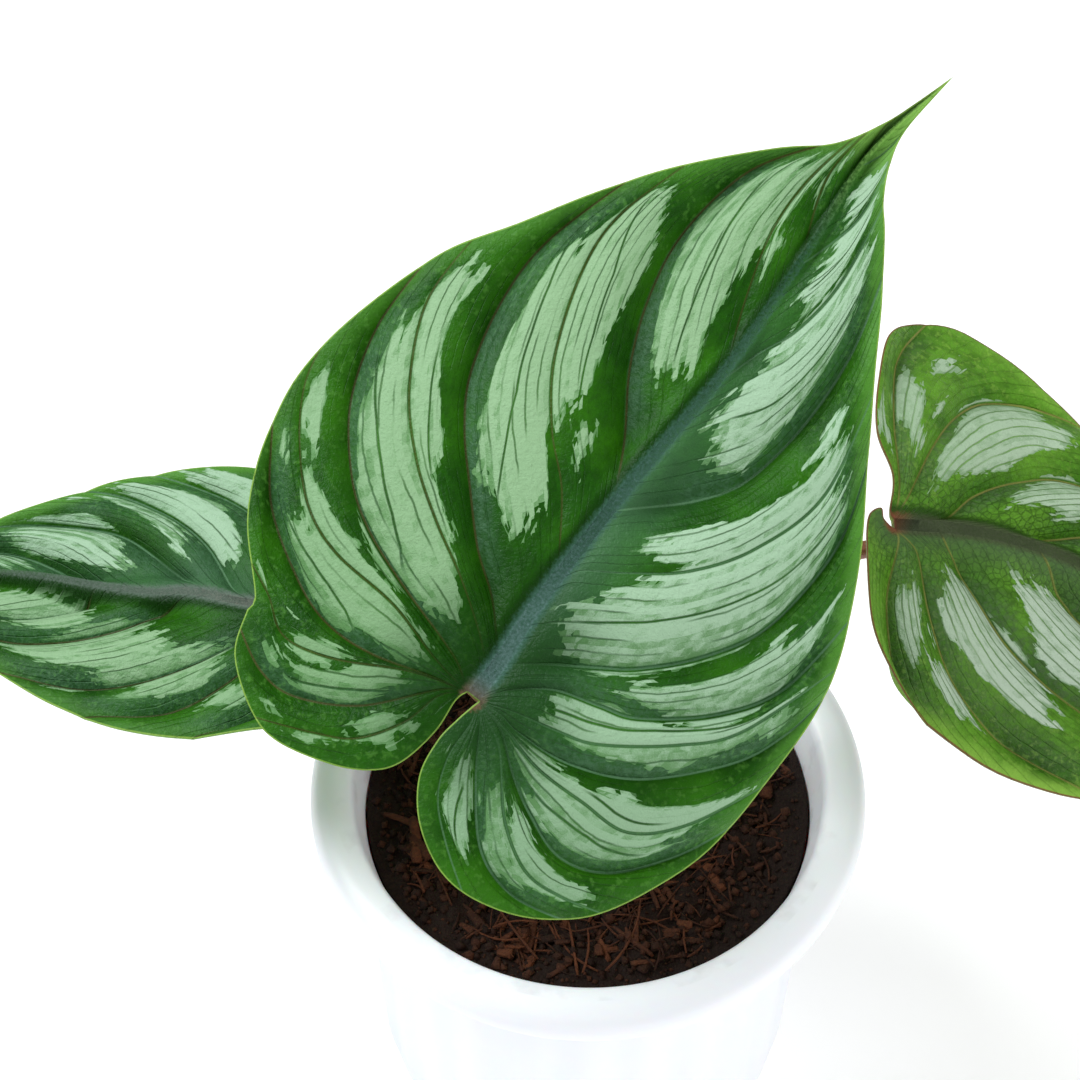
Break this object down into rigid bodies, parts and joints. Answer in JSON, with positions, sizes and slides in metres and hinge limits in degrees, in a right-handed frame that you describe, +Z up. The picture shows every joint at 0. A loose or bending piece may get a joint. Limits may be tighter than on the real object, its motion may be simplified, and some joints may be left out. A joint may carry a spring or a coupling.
{
  "type": "potted philodendron plowmanii",
  "caption": "Potted philodendron with large heart-shaped leaves, deeply quilted between sunken veins and banded with silver, in a white nursery pot.",
  "frame": {"origin": "centre of the pot's underside, on the surface that it stands on", "axes": "+Z up along the pot's axis, -Y towards the viewer that the large leaf faces, +X to that viewer's right"},
  "size_m": [0.3238, 0.1481, 0.2456],
  "materials": {
    "pot_plastic": "moulded white polypropylene, satin",
    "potting_mix": "damp peat with bark and coir sticks, matt",
    "stem_skin": "smooth plant skin with ring scars",
    "stalk_skin": "smooth reddish plant skin, satin",
    "blade_skin": "waxy leaf skin with silver bands between the veins, satin"
  },
  "bodies": {
    "root": {"pot": "pot_plastic", "potting_mix": "potting_mix", "stem": "stem_skin", "leaf_main_stalk": "stalk_skin", "leaf_left_stalk": "stalk_skin", "leaf_right_stalk": "stalk_skin", "leaf_main_blade": "blade_skin", "leaf_left_blade": "blade_skin", "leaf_right_blade": "blade_skin"}
  },
  "joints": []
}
